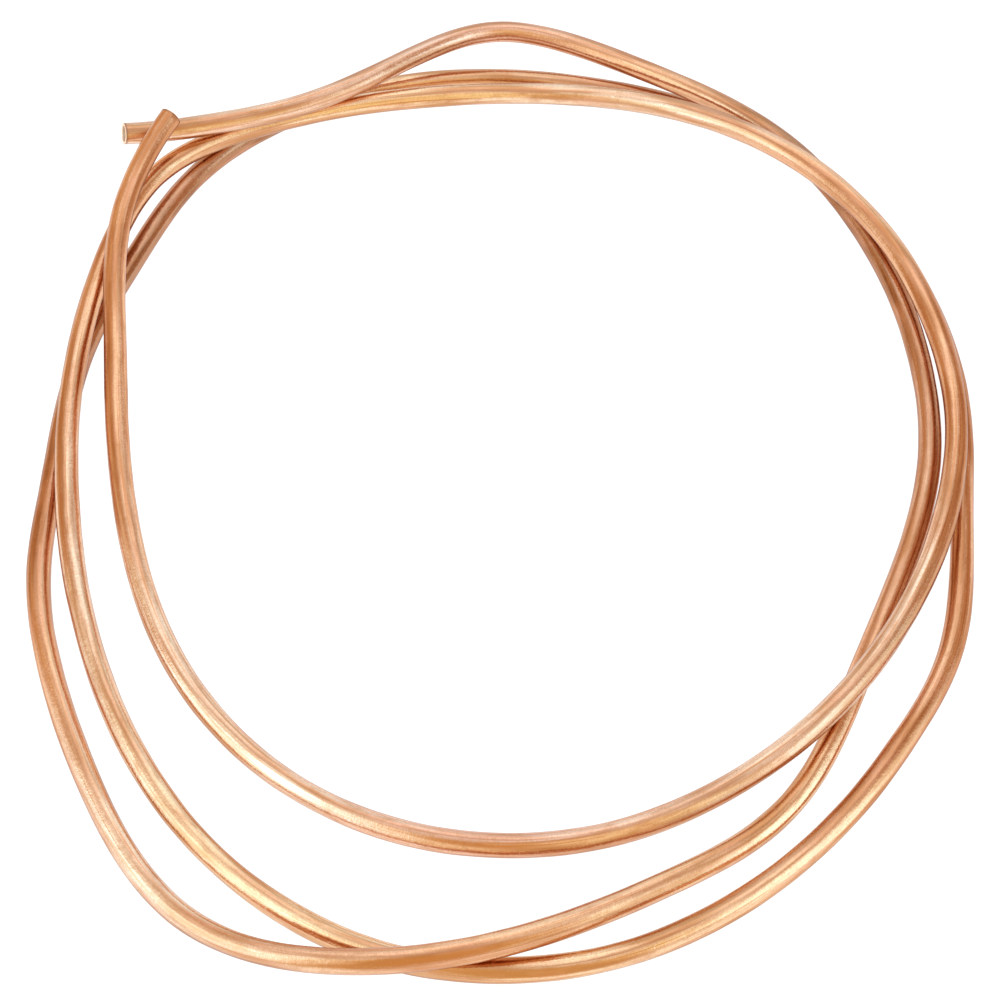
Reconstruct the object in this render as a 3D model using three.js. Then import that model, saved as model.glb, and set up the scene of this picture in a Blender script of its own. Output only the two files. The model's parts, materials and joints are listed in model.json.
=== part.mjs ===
// A loose coil of soft-drawn copper tube: one length of tube, wound by hand to three open turns
// that lie across each other, with both ends cut square and left open.
// Millimetres, +Z up. The coil lies flat, and the origin is on the surface below its middle.

import * as THREE from "three";
import { NURBSCurve } from "three/addons/curves/NURBSCurve.js";

// Tube section
const TUBE_OD = 5.0;
const TUBE_WALL = 0.7;

// Coil
const COIL_WIDTH = 182; // across X, between the centrelines of a plain turn
const COIL_DEPTH = 224; // across Y, between the centrelines of a plain turn
const TURN_GAP = 0.3; // air between two turns where one rests on the other

// Facets
const OUTER_SIDES = 14;
const BORE_SIDES = 10;
const STEPS = 240; // along the whole tube

const DEGREE = 3; // of the centreline's curve

// The bends, in order along the tube: [angle round the coil in degrees, how far outside the plain
// turn in turn pitches, how many turns the tube lies on]. The angle runs on past 360 with the turns.
const BENDS = [
  [138, 2.6, 3.2], [142, 2.5, 2.9], [151, 2.2, 2.3], [166, -0.3, 1.5], [190, -1.3, 0.6],
  [215, -1.6, 0.1], [240, -2.6, 0], [265, -3.3, 0], [290, -2.9, 0.1], [315, -1.5, 1.1],
  [340, 0.2, 1.1], [365, 2.0, 1.1], [390, 1.5, 2.2], [415, -0.1, 1.9], [441, -1.3, 1],
  [472, -0.6, 1], [492, 1.7, 1], [503, 2.8, 1.1], [515, 2.0, 1], [533, 1.3, 1.2],
  [558, 1.1, 0.3], [585, 1.8, 0], [613, 2.3, 0], [642, 2.0, 0], [668, 1.4, 0], [684, 1.2, 0],
  [697, 1.9, 0], [713, 1.1, 0], [736, 2.9, 0], [768, 2.8, 0], [800, 0.5, 0], [828, 1.3, 0],
  [854, 2.5, 0], [872, 1.2, 0], [887, 1.7, 0], [904, 1.4, 0], [916, 2.5, 0], [934, 2.9, 0],
  [955, 4.6, 0], [973, 2.7, 1.1], [992, 0.6, 1], [1012, -0.9, 0], [1030, 0, 0], [1054, -1.6, 0],
  [1078, 0.7, 0], [1104, 1.3, 0.7], [1128, 1.5, 1.2], [1148, 1.0, 0.9], [1167, 2.1, 1.3],
  [1177, 1.6, 1.5], [1190, -0.3, 2], [1203, -0.4, 2.1], [1213, 1.4, 2.1], [1219, 3.1, 2.1],
  [1222.2, 4.1, 2.5],
];

// A polygon whose flats lie as far out as its corners lie in, so its area is the circle's.
function circlePoints(diameter, sides) {
  const step = (2 * Math.PI) / sides;
  const radius = (diameter / 2) * Math.sqrt(step / Math.sin(step));
  return Array.from({ length: sides }, (_, i) =>
    new THREE.Vector2(radius * Math.cos(i * step), radius * Math.sin(i * step)));
}

// The tube's cross-section: a ring, open at the bore.
function tubeSection() {
  const section = new THREE.Shape(circlePoints(TUBE_OD, OUTER_SIDES));
  section.holes.push(new THREE.Path(circlePoints(TUBE_OD - 2 * TUBE_WALL, BORE_SIDES)));
  return section;
}

// One bend's control point, on the plain turn's ellipse moved out and up by whole or part pitches.
function bendPoint([degrees, outward, level]) {
  const angle = THREE.MathUtils.degToRad(degrees);
  const pitch = TUBE_OD + TURN_GAP; // centre to centre of two turns that touch
  const out = outward * pitch;
  return new THREE.Vector4(
    (COIL_WIDTH / 2 + out) * Math.cos(angle),
    (COIL_DEPTH / 2 + out) * Math.sin(angle),
    TUBE_OD / 2 + level * pitch,
    1,
  );
}

// The centreline: a smooth curve that starts and ends at the first and last bend.
function centreline() {
  const spans = BENDS.length - DEGREE;
  const knots = [];
  for (let i = -DEGREE; i <= spans + DEGREE; i += 1) {
    knots.push(THREE.MathUtils.clamp(i / spans, 0, 1));
  }
  return new NURBSCurve(DEGREE, knots, BENDS.map(bendPoint));
}

function copperTube() {
  const geometry = new THREE.ExtrudeGeometry(tubeSection(), {
    steps: STEPS,
    bevelEnabled: false,
    extrudePath: centreline(),
  });
  const copper = new THREE.MeshStandardMaterial({
    color: 0xd98f5f,
    roughness: 0.32,
    metalness: 1,
  });
  const tube = new THREE.Mesh(geometry, copper);
  tube.name = "copper_tube";
  return tube;
}

const coil = new THREE.Group();
coil.add(copperTube());

// Set the coil down on the surface, with its outline centred over the origin.
const bounds = new THREE.Box3().setFromObject(coil, true);
const middle = bounds.getCenter(new THREE.Vector3());
coil.position.set(-middle.x, -middle.y, -bounds.min.z);

export default coil;
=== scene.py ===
"""The looks of a loose coil of soft-drawn copper tube: one hollow tube in bright satin copper, with
both cut ends open. Metres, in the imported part's frame.

The tube follows the rings of the CAD solid, with a finer and rounder surface.
"""

import functools
import json
import math

import bmesh
import bpy
import numpy as np
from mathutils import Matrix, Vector, noise


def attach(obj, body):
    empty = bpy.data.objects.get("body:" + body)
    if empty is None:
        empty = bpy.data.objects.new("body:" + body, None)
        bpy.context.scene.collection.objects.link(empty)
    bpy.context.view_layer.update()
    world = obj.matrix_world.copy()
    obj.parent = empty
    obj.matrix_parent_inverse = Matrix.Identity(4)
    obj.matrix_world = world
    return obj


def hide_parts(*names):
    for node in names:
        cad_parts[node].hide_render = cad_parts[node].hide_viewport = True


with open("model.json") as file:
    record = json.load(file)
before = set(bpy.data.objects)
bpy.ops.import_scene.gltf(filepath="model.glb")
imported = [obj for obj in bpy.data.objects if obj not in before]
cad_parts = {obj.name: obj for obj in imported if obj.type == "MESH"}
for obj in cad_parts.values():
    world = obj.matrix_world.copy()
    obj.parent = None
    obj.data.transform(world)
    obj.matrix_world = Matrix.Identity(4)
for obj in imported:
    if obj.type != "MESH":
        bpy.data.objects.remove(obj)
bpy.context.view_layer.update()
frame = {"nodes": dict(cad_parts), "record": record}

MM = 0.001
WHITE = (1, 1, 1, 1)

# Tube section, as in the CAD
TUBE_OD = 5.0 * MM
TUBE_WALL = 0.7 * MM
WELD = 0.001 * MM  # corners of the solid's triangles nearer than this are one corner

# Facets
SIDES = 48
RINGS = 1200
BORE_RINGS = 300

# Profile of a cut end's corners: (in from the wall, back from the cut), from the wall to the face
DEBURR = [(0.0, 0.16 * MM), (0.02 * MM, 0.07 * MM), (0.07 * MM, 0.02 * MM), (0.16 * MM, 0.0)]

# What coiling by hand leaves
OVAL_PER_BEND = 1.2  # widest less narrowest, in ODs, at a bend radius of 1 OD; falls as its square
TINY_BEND = 1e-9  # curvature added everywhere, so that a straight stretch divides by no zero
RIPPLES = [  # (height, size round the tube, size along it) of the waves in the wall
    (0.22 * MM, 2.6 * MM, 28 * MM),
    (0.05 * MM, 2.0 * MM, 6 * MM),
]

# Colours along the tube, at shares of the length from end_a: the copper's own tint from handling and
# light oxide, with painted shade in the two darkest colours on stretches that other turns of the coil
# shade, and a painted highlight in the palest colour on stretches whose highlights are bright
# painted highlight: the palest colour brightens stretches whose highlights are bright
PAINTED_HIGHLIGHT_PALE = (0.97, 0.74, 0.56, 1)
GOLDEN = (0.97, 0.69, 0.44, 1)
ORANGE = (0.88, 0.53, 0.32, 1)
ROSY = (0.85, 0.54, 0.42, 1)
# painted shade: the two darkest colours darken stretches that other turns of the coil shade
PAINTED_SHADE_DEEP = (0.62, 0.36, 0.24, 1)
PAINTED_SHADE_BROWN = (0.45, 0.25, 0.16, 1)
TINTS_AND_PAINTED_LIGHT = [
    (0.04, ORANGE), (0.07, PAINTED_HIGHLIGHT_PALE), (0.09, PAINTED_HIGHLIGHT_PALE), (0.11, ROSY), (0.14, PAINTED_HIGHLIGHT_PALE), (0.17, PAINTED_HIGHLIGHT_PALE),
    (0.19, ORANGE), (0.23, ORANGE), (0.25, PAINTED_HIGHLIGHT_PALE), (0.28, GOLDEN), (0.30, GOLDEN), (0.33, ORANGE),
    (0.37, PAINTED_HIGHLIGHT_PALE), (0.40, GOLDEN), (0.45, GOLDEN), (0.48, ORANGE), (0.59, PAINTED_SHADE_DEEP), (0.62, GOLDEN),
    (0.64, PAINTED_SHADE_BROWN), (0.67, PAINTED_SHADE_BROWN), (0.70, PAINTED_SHADE_DEEP), (0.72, ORANGE), (0.75, PAINTED_HIGHLIGHT_PALE), (0.78, ORANGE),
    (0.82, GOLDEN), (0.83, ORANGE), (0.87, PAINTED_SHADE_DEEP), (0.89, PAINTED_SHADE_BROWN), (0.91, PAINTED_SHADE_BROWN), (0.93, ORANGE),
    (0.95, ROSY), (0.99, PAINTED_HIGHLIGHT_PALE),
]
DULLED = (0.60, 0.42, 0.30, 1)  # share of each primary that the copper keeps where it is dullest

# Marks on the drawn wall, as noise: (size round the tube, size along it, detail, roughness)
MARKS = {
    "patches": (2.4 * MM, 36 * MM, 2, 0.5),
    "blush": (2.2 * MM, 11 * MM, 3, 0.6),
    "streaks": (0.5 * MM, 40 * MM, 2, 0.5),
    "lines": (0.3 * MM, 22 * MM, 3, 0.6),
    "bands": (1.1 * MM, 60 * MM, 2, 0.5),
    "handling": (1.4 * MM, 5 * MM, 5, 0.65),
    "pebbles": (0.55 * MM, 0.28 * MM, 3, 0.7),
    "dimples": (1.5 * MM, 1.8 * MM, 2, 0.5),
    "specks": (0.3 * MM, 0.5 * MM, 1, 0.5),
}
NOISE_RANGE = (0.3, 0.7)  # nearly all of a noise lies between these levels

BRIGHT_PATCHES = (0.40, 0.57)  # noise levels where the copper is still dulled, and where it is bright

# The other marks' colours, each over the last: (mark, noise level where its colour begins, level
# where it is full, share of the copper that it then covers, colour)
STAINS = [
    ("blush", 0.45, 0.70, 0.60, (0.78, 0.41, 0.27, 1)),
    ("streaks", 0.56, 0.66, 0.70, (0.60, 0.25, 0.10, 1)),
    ("lines", 0.56, 0.72, 0.65, (0.56, 0.24, 0.09, 1)),
    ("handling", 0.52, 0.75, 0.70, (0.54, 0.24, 0.10, 1)),
    ("pebbles", 0.35, 0.75, 0.50, (0.58, 0.28, 0.12, 1)),
]
EDGE_TINT = (0.68, 0.66, 0.70, 1)  # of what the copper mirrors where it turns away from the eye

# How rough and how high the marks make the wall
WALL_ROUGHNESS = (0.10, 0.15)  # between the draw lines, and on them
HANDLED_LEVELS = (0.5, 0.8)  # noise levels where handling begins to roughen the wall, and has fully
HANDLED_ROUGHNESS = 0.12  # what it adds there
RELIEF = 0.02 * MM
HEIGHTS = [("lines", 0.15), ("bands", 3.0), ("pebbles", 2.2), ("dimples", 2.5)]  # in reliefs
PIT_LEVELS = (0.66, 0.8)  # noise levels where a speck's pit begins, and where it is one relief deep

# Painted shade: a dark ring round each cut end
PAINTED_END_SHADE = (0.28, 0.16, 0.11, 1)
PAINTED_END_SHADE_SHARE = 0.7
PAINTED_END_SHADE_FADE = (0.3 * MM, 0.7 * MM)  # from the cut

# The cut faces, with scores across them
SCORED = (0.93, 0.58, 0.38, 1)
BARE = (0.98, 0.70, 0.52, 1)
SCORE_SIZE = 0.12 * MM
SCORE_RELIEF = 0.03 * MM
CUT_ROUGHNESS = (0.3, 0.45)

# The bore, with a film in it
BORE_BRIGHT = (0.86, 0.74, 0.62, 1)
BORE_DULL = (0.70, 0.56, 0.44, 1)
FILM_SIZE = (0.8 * MM, 8 * MM)  # round the tube, and along it
BORE_ROUGHNESS = (0.4, 0.55)

# Camera: the point that it looks at, and where it stands from there
AIM = Vector((-1.781 * MM, -14.262 * MM, 5.039 * MM))
CAMERA_ELEVATION = math.radians(56)
CAMERA_DISTANCE = 502 * MM
LENS = 85  # mm, on Blender's 36 mm sensor

# The floor, a light table that shows as white
FLOOR_REACH = 5.0  # from its middle to each side
FLOOR_GREY = (0.27, 0.27, 0.27, 1)
FLOOR_ROUGHNESS = 0.9
FLOOR_GLOW = 0.96

# What the copper mirrors: the inside of a round light tent, evenly lit, with soft lights and, where
# the brightness is negative, warm dark cards. Each is (azimuth from +X, elevation, half width of
# the even core, half width with the faded edge, all in degrees, and the brightness that it adds).
TENT_GLOW = (0.80, 0.75, 0.72)
SOFT_LIGHTS = [
    (210, 30, 20, 30, (0.55, 0.95, 1.25)),  # bank at the left
    (215, -10, 0, 55, (0.30, 0.55, 0.75)),  # its light thrown back by the table
    (335, 20, 20, 30, (0.45, 0.80, 1.00)),  # bank at the right
    (75, 20, 25, 35, (0.05, 0.20, 0.30)),  # bank behind
    (200, 55, 15, 25, (0.25, 0.40, 0.45)),  # high lamp at the left
    (345, 45, 5, 15, (0.30, 0.50, 0.60)),  # high lamp at the right
    (90, 60, 0, 25, (0.35, 0.40, 0.45)),  # high lamp behind
    (15, 30, 20, 30, (-0.30, -0.45, -0.55)),  # warm dark card at the right
    (150, 25, 20, 35, (-0.15, -0.30, -0.45)),  # warm dark card behind, to the left
    (270, 35, 30, 40, (0.05, -0.05, -0.30)),  # warm card in front
]
TENT_STRENGTH = 1.22
TENT_RADIUS = 0.65
TENT_SUBDIVISIONS = 6

# The UV map: the wall as strips side by side, then the bore in one short strip, then the cut faces
UV_MAP = "OFBake"
UV_STRIPS = 10
UV_MARGIN = 1.0 * MM
UV_CUT_ROW = 0.3 * MM  # width of one row of a cut face

# The tube's finishes, by their place in its list of materials
WALL, CUT, BORE = range(3)


def mount(name):
    """The record's mount of this name."""
    return next(m for m in frame["record"]["mounts"] if m["name"] == name)


def ring_centres():
    """The middles of the CAD tube's rings, in order from end_a to end_b."""
    start = Vector(mount("end_a")["pos_m"])
    solid = bmesh.new()
    solid.from_mesh(frame["nodes"]["copper_tube"].data)
    bmesh.ops.remove_doubles(solid, verts=solid.verts, dist=WELD)
    solid.verts.index_update()
    ring = [v for v in solid.verts if (v.co - start).length < TUBE_OD]
    seen = set(ring)
    centres = []
    while ring:
        centres.append(np.mean([v.co for v in ring], axis=0))
        beside = {edge.other_vert(v) for v in ring for edge in v.link_edges}
        ring = sorted(beside - seen, key=lambda v: v.index)  # a set's own order differs by run
        seen.update(ring)
    solid.free()
    return np.array(centres)


class Centreline:
    """A cubic spline through points, with given directions at its two ends."""

    def __init__(self, points, first_direction, last_direction):
        steps = np.diff(points, axis=0)
        gaps = np.linalg.norm(steps, axis=1)
        self.points = points
        self.at = np.concatenate([[0], np.cumsum(gaps)])
        self.length = self.at[-1]
        count = len(points)
        matrix = np.eye(count)
        wanted = np.zeros((count, 3))
        wanted[0], wanted[-1] = first_direction, last_direction
        for i in range(1, count - 1):
            before, after = gaps[i - 1], gaps[i]
            matrix[i, i - 1 : i + 2] = 1 / before, 2 / before + 2 / after, 1 / after
            wanted[i] = 3 * (steps[i - 1] / before**2 + steps[i] / after**2)
        self.slopes = np.linalg.solve(matrix, wanted)

    def sample(self, distances):
        """Points, unit directions and curvature vectors at these distances along the line."""
        i = np.clip(np.searchsorted(self.at, distances, side="right") - 1, 0, len(self.at) - 2)
        gap = (self.at[i + 1] - self.at[i])[:, None]
        t = (distances[:, None] - self.at[i][:, None]) / gap
        a, b = self.points[i], self.points[i + 1]
        m, n = self.slopes[i] * gap, self.slopes[i + 1] * gap
        square = 3 * (b - a) - 2 * m - n
        cube = 2 * (a - b) + m + n
        place = a + t * m + t**2 * square + t**3 * cube
        slope = m + 2 * t * square + 3 * t**2 * cube
        bend = (2 * square + 6 * t * cube) / gap**2
        return place, slope / np.linalg.norm(slope, axis=1)[:, None], bend


def centreline():
    """The tube's centreline, square to both cut faces."""
    return Centreline(
        ring_centres(),
        -np.array(mount("end_a")["axis"]),
        np.array(mount("end_b")["axis"]),
    )


def across_frames(directions):
    """Two unit vectors across the tube at each direction, carried along it without twisting."""
    side = np.cross(directions[0], (0, 0, 1))
    sides = []
    for direction in directions:
        side = side - direction * (side @ direction)
        side = side / np.linalg.norm(side)
        sides.append(side)
    sides = np.array(sides)
    return sides, np.cross(directions, sides)


def tube_profile(length):
    """The tube's profile: (distance along, radius) of each loop of vertices, out along the outer wall
    and back along the bore, with the loops of both cut faces between them."""
    outer, inner = TUBE_OD / 2, TUBE_OD / 2 - TUBE_WALL
    back = DEBURR[0][1]
    wall = [(s, outer) for s in np.linspace(back, length - back, RINGS)]
    bore = [(s, inner) for s in np.linspace(length - back, back, BORE_RINGS)]
    far_face = [(length - b, outer - a) for a, b in DEBURR[1:]]
    far_face += [(length - b, inner + a) for a, b in reversed(DEBURR[1:])]
    near_face = [(length - s, r) for s, r in reversed(far_face)]
    return wall, far_face, bore, near_face


def ripples(loops, turn):
    """How far the surface stands out from a true round, for each loop and side."""
    found = np.zeros((len(loops), len(turn)))
    for i, (along, radius) in enumerate(loops):
        for j, angle in enumerate(turn):
            for height, round_size, along_size in RIPPLES:
                found[i, j] += height * noise.noise((
                    radius * math.cos(angle) / round_size,
                    radius * math.sin(angle) / round_size,
                    along / along_size,
                ))
    return found


def tube_vertices(line, loops, turn):
    """The place of the vertex on each loop and side."""
    order = np.argsort(loops[:, 0], kind="stable")
    place, direction, bend = (np.empty((len(loops), 3)) for _ in range(3))
    place[order], direction[order], bend[order] = line.sample(loops[order, 0])
    side, up = (np.empty((len(loops), 3)) for _ in range(2))
    side[order], up[order] = across_frames(direction[order])

    around = np.cos(turn)[None, :, None] * side[:, None] + np.sin(turn)[None, :, None] * up[:, None]
    bend_size = np.linalg.norm(bend, axis=1) + TINY_BEND
    towards_bend = (around * (bend / bend_size[:, None])[:, None]).sum(2)
    flat = OVAL_PER_BEND * (TUBE_OD * bend_size) ** 2
    radius = loops[:, 1, None] * (1 + flat[:, None] * (0.5 - towards_bend**2))
    radius += ripples(loops, turn)
    return place[:, None] + around * radius[..., None]


def drawn_places(loops, turn):
    """Where each vertex was on the straight tube that the coil was made from, which lay along Z."""
    places = np.empty((len(loops), len(turn), 3))
    places[..., 0] = loops[:, 1, None] * np.cos(turn)
    places[..., 1] = loops[:, 1, None] * np.sin(turn)
    places[..., 2] = loops[:, 0, None]
    return places


def loop_faces(count):
    """The faces from each loop of vertices to the next, and from the last to the first."""
    here = np.arange(count)[:, None] * SIDES + np.arange(SIDES)
    beside = np.roll(here, -1, axis=1)
    return np.stack([here, beside, np.roll(beside, -1, axis=0), np.roll(here, -1, axis=0)], 2)


def uv_corners(length, finish):
    """The place in the UV map of each face's four corners, for faces in rows along the profile."""
    wall_round = math.pi * TUBE_OD
    bore_round = math.pi * (TUBE_OD - 2 * TUBE_WALL)
    rows_in_strip = math.ceil((RINGS - 1) / UV_STRIPS)
    row = length / (RINGS - 1)
    size = rows_in_strip * row + 2 * UV_MARGIN
    left, bottom, wide, high = (np.empty(len(finish)) for _ in range(4))

    wall, bore, cuts = finish == WALL, finish == BORE, finish == CUT
    i = np.arange(wall.sum())
    left[wall] = i // rows_in_strip * (wall_round + UV_MARGIN)
    bottom[wall] = i % rows_in_strip * row
    wide[wall], high[wall] = wall_round, row

    beside = UV_STRIPS * (wall_round + UV_MARGIN)
    left[bore] = beside
    wide[bore] = bore_round
    high[bore] = rows_in_strip * row / bore.sum()
    bottom[bore] = np.arange(bore.sum()) * high[bore]

    second_end = np.flatnonzero(cuts) > np.flatnonzero(bore)[0]
    left[cuts] = beside + bore_round + UV_MARGIN
    bottom[cuts] = np.arange(cuts.sum()) * UV_CUT_ROW + second_end * UV_MARGIN
    wide[cuts], high[cuts] = wall_round, UV_CUT_ROW

    share = (np.arange(SIDES)[:, None] + [0, 1, 1, 0]) / SIDES
    across = left[:, None, None] + wide[:, None, None] * share
    along = np.broadcast_to(
        bottom[:, None, None] + high[:, None, None] * np.array([0, 0, 1, 1]), across.shape
    )
    return (np.stack([across, along], 3) + UV_MARGIN) / size


def copper_tube(line):
    """The whole tube as one closed mesh."""
    wall, far_face, bore, near_face = tube_profile(line.length)
    loops = np.array(wall + far_face + bore + near_face)
    turn = np.arange(SIDES) * 2 * math.pi / SIDES
    verts = tube_vertices(line, loops, turn)
    faces = loop_faces(len(loops))
    mesh = bpy.data.meshes.new("copper_tube_drawn")
    mesh.from_pydata(verts.reshape(-1, 3).tolist(), [], faces.reshape(-1, 4).tolist())
    mesh.shade_smooth()

    drawn = mesh.attributes.new("drawn", "FLOAT_VECTOR", "POINT")
    drawn.data.foreach_set("vector", drawn_places(loops, turn).astype(np.float32).ravel())

    # A row of faces starts at each loop, and the far face's last row already belongs to the bore
    rows = [len(wall), len(far_face) - 1, len(bore) + 1, len(near_face)]
    finish = np.repeat([WALL, CUT, BORE, CUT], rows)
    mesh.polygons.foreach_set("material_index", np.repeat(finish, SIDES).astype(np.int32))

    uv_map = mesh.uv_layers.new(name=UV_MAP)
    uv_map.data.foreach_set("uv", uv_corners(line.length, finish).astype(np.float32).ravel())
    return bpy.data.objects.new("copper_tube_drawn", mesh)


class Nodes:
    """A material's node tree, with the few kinds of node that the finishes here share."""

    def __init__(self, name):
        self.material = bpy.data.materials.new(name)
        self.material.use_nodes = True
        self.tree = self.material.node_tree
        self.shader = self.tree.nodes["Principled BSDF"]

    @functools.cached_property
    def drawn(self):
        """The place on the straight tube that the coil was made from, which lay along Z."""
        return self.add("ShaderNodeAttribute", attribute_name="drawn").outputs["Vector"]

    def feed(self, socket, value):
        """Link another node's output to an input, or set the input to a constant."""
        if isinstance(value, bpy.types.NodeSocket):
            self.tree.links.new(value, socket)
        else:
            socket.default_value = value

    def set(self, name, value):
        """Feed one of the shader's inputs."""
        self.feed(self.shader.inputs[name], value)

    def add(self, kind, inputs=(), **settings):
        """A new node with these settings and inputs."""
        made = self.tree.nodes.new(kind)
        for name, value in settings.items():
            setattr(made, name, value)
        for name, value in dict(inputs).items():
            self.feed(made.inputs[name], value)
        return made

    def maths(self, operation, a, b):
        """The result of an operation on two values."""
        return self.add("ShaderNodeMath", {0: a, 1: b}, operation=operation).outputs[0]

    def grain(self, across, along, detail=2, rough=0.5):
        """Noise whose patches have this size round the tube and along it."""
        scaled = self.add(
            "ShaderNodeVectorMath",
            {0: self.drawn, 1: (1 / across, 1 / across, 1 / along)},
            operation="MULTIPLY",
        )
        made = self.add(
            "ShaderNodeTexNoise",
            {"Vector": scaled.outputs[0], "Scale": 1, "Detail": detail, "Roughness": rough},
        )
        return made.outputs["Fac"]

    def spread(self, value, levels, result=(0.0, 1.0), **settings):
        """Carry a value from between two levels to between two results, and hold it there."""
        inputs = {
            "Value": value,
            "From Min": levels[0],
            "From Max": levels[1],
            "To Min": result[0],
            "To Max": result[1],
        }
        return self.add("ShaderNodeMapRange", inputs, **settings).outputs["Result"]

    def blend(self, share, a, b):
        """Colour a, with this share of it given over to colour b."""
        made = self.add("ShaderNodeMix", data_type="RGBA")
        sockets = {socket.identifier: socket for socket in (*made.inputs, *made.outputs)}
        self.feed(sockets["Factor_Float"], share)
        self.feed(sockets["A_Color"], a)
        self.feed(sockets["B_Color"], b)
        return sockets["Result_Color"]

    def tint(self, along, stops):
        """A colour that runs from stop to stop, each a (place, colour)."""
        made = self.add("ShaderNodeValToRGB", {"Fac": along})
        ramp = made.color_ramp.elements
        for place, _ in stops[2:]:
            ramp.new(place)
        for stop, (place, colour) in zip(ramp, stops):
            stop.position, stop.color = place, colour
        return made.outputs["Color"]

    def bump(self, height, relief):
        """Let the surface stand out by this many reliefs."""
        inputs = {"Strength": 1, "Distance": relief, "Height": height}
        self.set("Normal", self.add("ShaderNodeBump", inputs).outputs["Normal"])


def drawn_copper(length):
    """Bright copper as it leaves the drawing die, with fine lines along it and handled since; with
    painted shade and a painted highlight on some stretches, and painted shade in a thin ring at each
    end."""
    n = Nodes("drawn_copper")
    marks = {name: n.grain(*mark) for name, mark in MARKS.items()}
    from_start = n.add("ShaderNodeSeparateXYZ", {"Vector": n.drawn}).outputs["Z"]

    n.set("Base Color", wall_colour(n, marks, from_start, length))
    n.set("Metallic", 1.0)
    n.set("Specular Tint", EDGE_TINT)
    rough = n.spread(marks["lines"], NOISE_RANGE, WALL_ROUGHNESS)
    handled = n.spread(marks["handling"], HANDLED_LEVELS, (0, HANDLED_ROUGHNESS))
    n.set("Roughness", n.maths("ADD", rough, handled))

    height = n.spread(marks["specks"], PIT_LEVELS, (0, -1))
    for mark, reliefs in HEIGHTS:
        height = n.maths("ADD", height, n.maths("MULTIPLY", marks[mark], reliefs))
    n.bump(height, RELIEF)
    return n.material


def wall_colour(n, marks, from_start, length):
    """The wall's colour: tinted along the tube, with painted shade and a painted highlight on some
    stretches, dulled in patches, stained by the other marks and darkened by painted shade in a thin
    ring at each end."""
    along = n.maths("DIVIDE", from_start, length)
    # the tints along the tube carry painted shade and a painted highlight on some stretches
    dulled_tints_and_painted_light = [(place, np.multiply(tint, DULLED)) for place, tint in TINTS_AND_PAINTED_LIGHT]
    bright = n.spread(marks["patches"], BRIGHT_PATCHES)
    colour = n.blend(bright, n.tint(along, dulled_tints_and_painted_light), n.tint(along, TINTS_AND_PAINTED_LIGHT))
    for mark, begins, full, share, stain in STAINS:
        colour = n.blend(n.spread(marks[mark], (begins, full), (0, share)), colour, stain)
    # painted shade: a dark ring at each cut end, fading out between 0.3 and 0.7 mm from the cut
    from_cut = n.maths("MINIMUM", from_start, n.maths("SUBTRACT", length, from_start))
    return n.blend(n.spread(from_cut, PAINTED_END_SHADE_FADE, (PAINTED_END_SHADE_SHARE, 0)), colour, PAINTED_END_SHADE)


def cut_copper():
    """The bare cut face, scored by the tube cutter."""
    n = Nodes("cut_copper")
    scores = n.grain(SCORE_SIZE, SCORE_SIZE, detail=4, rough=0.7)
    n.set("Base Color", n.blend(scores, SCORED, BARE))
    n.set("Metallic", 1.0)
    n.set("Roughness", n.spread(scores, NOISE_RANGE, CUT_ROUGHNESS))
    n.bump(scores, SCORE_RELIEF)
    return n.material


def bore_copper():
    """The inside, dulled by drawing soap and a little oxide."""
    n = Nodes("bore_copper")
    film = n.grain(*FILM_SIZE, detail=4)
    n.set("Base Color", n.blend(film, BORE_BRIGHT, BORE_DULL))
    n.set("Metallic", 1.0)
    n.set("Roughness", n.spread(film, NOISE_RANGE, BORE_ROUGHNESS))
    return n.material


def staged(name, mesh):
    """Put a mesh in the scene, outside the part."""
    made = bpy.data.objects.new(name, mesh)
    bpy.context.scene.collection.objects.link(made)
    return made


def floor():
    """A light table: it glows by itself, so what lies on it casts hardly a shadow."""
    n = Nodes("pale_floor")
    n.set("Base Color", FLOOR_GREY)
    n.set("Roughness", FLOOR_ROUGHNESS)
    n.set("Specular IOR Level", 0.0)
    n.set("Emission Color", WHITE)
    n.set("Emission Strength", FLOOR_GLOW)
    mesh = bpy.data.meshes.new("floor")
    r = FLOOR_REACH
    mesh.from_pydata([(-r, -r, 0), (r, -r, 0), (r, r, 0), (-r, r, 0)], [], [(0, 1, 2, 3)])
    mesh.materials.append(n.material)
    staged("floor", mesh)


def pale_room():
    """A plain white world round everything, shown as it is."""
    world = bpy.data.worlds.new("pale_room")
    world.use_nodes = True
    world.node_tree.nodes["Background"].inputs["Color"].default_value = WHITE
    bpy.context.scene.world = world
    bpy.context.scene.view_settings.view_transform = "Standard"


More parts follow.
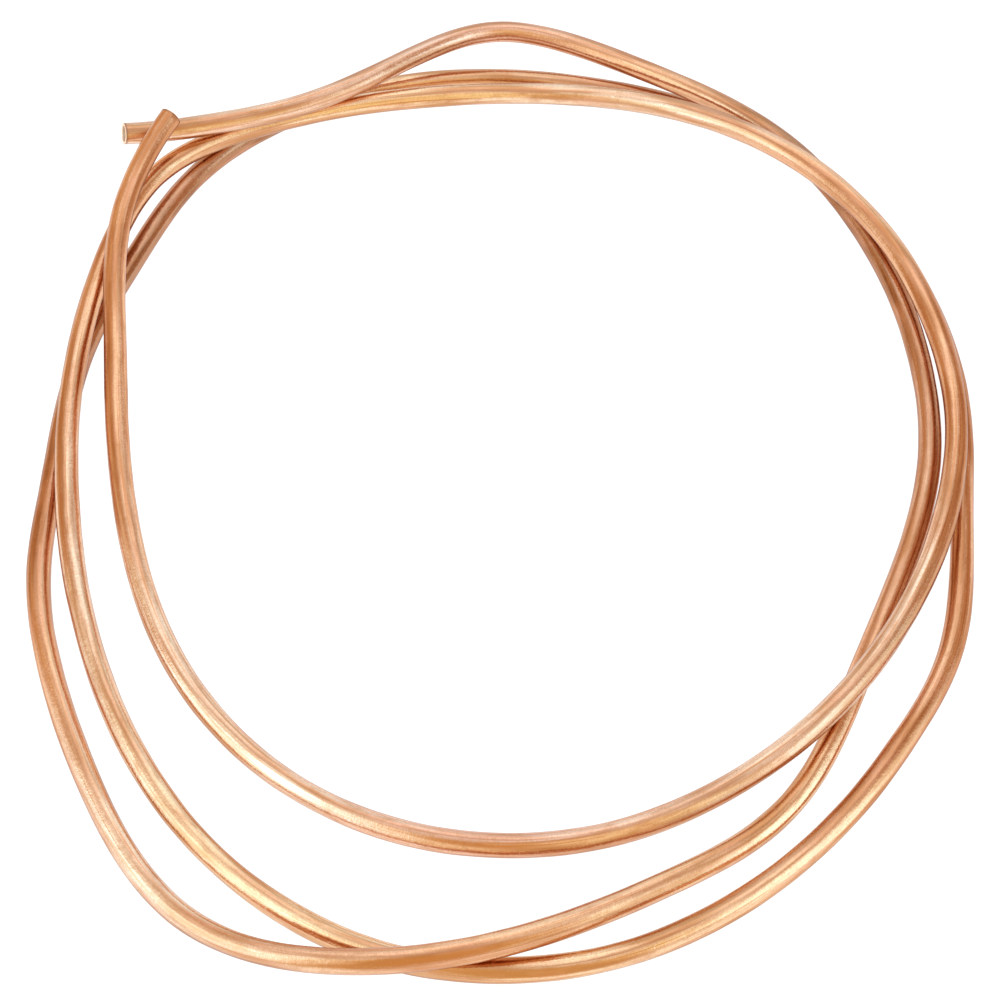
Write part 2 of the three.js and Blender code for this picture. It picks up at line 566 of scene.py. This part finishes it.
def tent_light():
    """The tent's glow, with its soft lights and dark cards in their directions from the origin."""
    n = Nodes("tent_light")
    place = n.add("ShaderNodeTexCoord").outputs["Object"]
    towards = n.add("ShaderNodeVectorMath", {0: place}, operation="NORMALIZE").outputs[0]
    light = TENT_GLOW
    for azimuth, elevation, core, edge, colour in SOFT_LIGHTS:
        azimuth, elevation = math.radians(azimuth), math.radians(elevation)
        axis = (
            math.cos(elevation) * math.cos(azimuth),
            math.cos(elevation) * math.sin(azimuth),
            math.sin(elevation),
        )
        near = n.add("ShaderNodeVectorMath", {0: towards, 1: axis}, operation="DOT_PRODUCT")
        angles = math.cos(math.radians(edge)), math.cos(math.radians(core))
        fade = n.spread(near.outputs["Value"], angles, interpolation_type="SMOOTHSTEP")
        light = n.add(
            "ShaderNodeVectorMath", {0: fade, 1: colour, 2: light}, operation="MULTIPLY_ADD"
        ).outputs[0]
    glow = n.add("ShaderNodeEmission", {"Color": light, "Strength": TENT_STRENGTH})
    n.feed(n.tree.nodes["Material Output"].inputs["Surface"], glow.outputs[0])
    n.material.cycles.emission_sampling = "NONE"
    return n.material


def light_tent():
    """A round tent close about the coil, which only the copper's reflections see."""
    shape = bmesh.new()
    bmesh.ops.create_icosphere(shape, subdivisions=TENT_SUBDIVISIONS, radius=TENT_RADIUS)
    mesh = bpy.data.meshes.new("tent")
    shape.to_mesh(mesh)
    shape.free()
    mesh.materials.append(tent_light())
    tent = staged("tent", mesh)
    tent.visible_camera = tent.visible_shadow = tent.visible_diffuse = False


def camera():
    """A camera that looks down at the coil from its front."""
    back = Vector((0, -math.cos(CAMERA_ELEVATION), math.sin(CAMERA_ELEVATION)))
    lens = bpy.data.cameras.new("camera")
    lens.lens = LENS
    made = bpy.data.objects.new("camera", lens)
    made.location = AIM + back * CAMERA_DISTANCE
    made.rotation_euler = (-back).to_track_quat("-Z", "Y").to_euler()
    bpy.context.scene.collection.objects.link(made)
    bpy.context.scene.camera = made


camera()
pale_room()
light_tent()
floor()

line = centreline()
tube = copper_tube(line)
for finish in (drawn_copper(line.length), cut_copper(), bore_copper()):
    tube.data.materials.append(finish)
bpy.context.scene.collection.objects.link(tube)
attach(tube, "root")
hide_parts("copper_tube")

bpy.context.view_layer.update()
